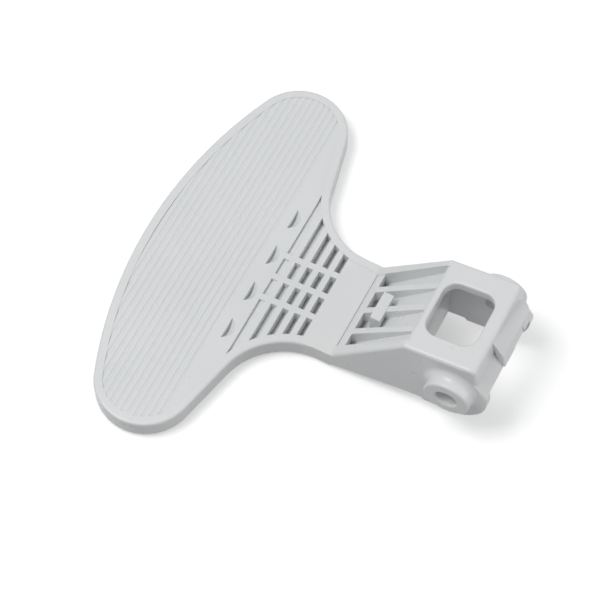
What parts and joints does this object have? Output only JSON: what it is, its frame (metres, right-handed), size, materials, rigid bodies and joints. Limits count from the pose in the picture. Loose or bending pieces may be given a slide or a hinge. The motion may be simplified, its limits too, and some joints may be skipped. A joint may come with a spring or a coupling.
{
  "type": "appliance door pull lever",
  "caption": "Pull lever for a round appliance door: fan-shaped grip with fine ribs, ribbed neck and ramp, and a hollow hinge block with a window and bored pivot bosses.",
  "frame": {"origin": "middle of the pivot axis, halfway between the two bosses", "axes": "+X along the pivot axis, +Y from the pivot towards the grip, +Z out of the ribbed rear side; the smooth front cover faces -Z"},
  "size_m": [0.14, 0.1311, 0.0396],
  "materials": {
    "lever_body": "white, moulded, glossy",
    "front_cover": "white, moulded, glossy"
  },
  "bodies": {
    "root": {"lever_body": "lever_body", "front_cover": "front_cover"}
  },
  "joints": []
}
